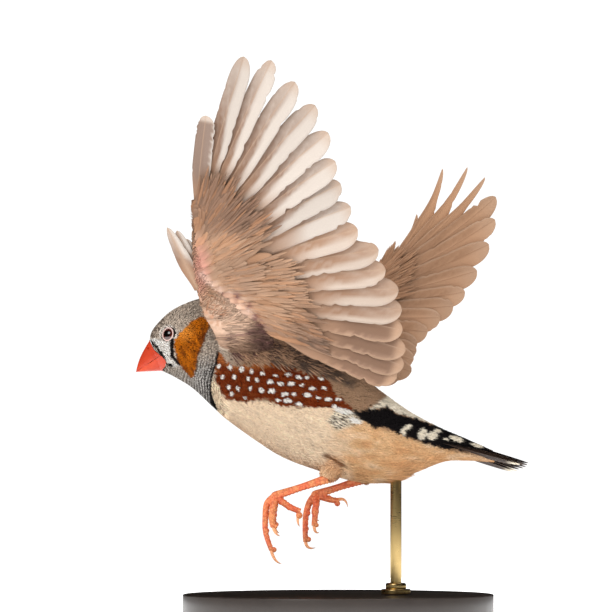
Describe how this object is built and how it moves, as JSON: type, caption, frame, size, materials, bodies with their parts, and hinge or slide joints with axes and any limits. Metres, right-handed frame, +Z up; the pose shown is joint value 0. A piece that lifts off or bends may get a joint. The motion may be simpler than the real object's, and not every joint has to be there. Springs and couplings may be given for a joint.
{
  "type": "zebra finch display model",
  "caption": "Life-size museum model of a male zebra finch in flight with both wings raised, held on a round display stand by a slim rod.",
  "frame": {"origin": "the centre of the stand's flat underside", "axes": "+Z up, the bird faces -X and its left side is towards -Y"},
  "size_m": [0.1057, 0.084, 0.1495],
  "materials": {
    "grey_plumage": "matte feathers",
    "buff_plumage": "matte feathers",
    "brown_plumage": "matte feathers",
    "black_plumage": "matte feathers",
    "bill_horn": "smooth horn, soft gloss",
    "leg_skin": "scaly skin",
    "eye_glass": "wet and clear",
    "stand_wood": "dark satin lacquer",
    "stand_brass": "brushed"
  },
  "bodies": {
    "root": {"head": "grey_plumage", "neck": "grey_plumage", "torso": "buff_plumage", "tail": "black_plumage", "bill_upper": "bill_horn", "bill_lower": "bill_horn", "eye_left": "eye_glass", "eye_right": "eye_glass", "wing_left": "brown_plumage", "wing_right": "brown_plumage", "thigh_left": "buff_plumage", "thigh_right": "buff_plumage", "leg_left": "leg_skin", "leg_right": "leg_skin", "stand_base": "stand_wood", "stand_rod": "stand_brass"}
  },
  "joints": []
}
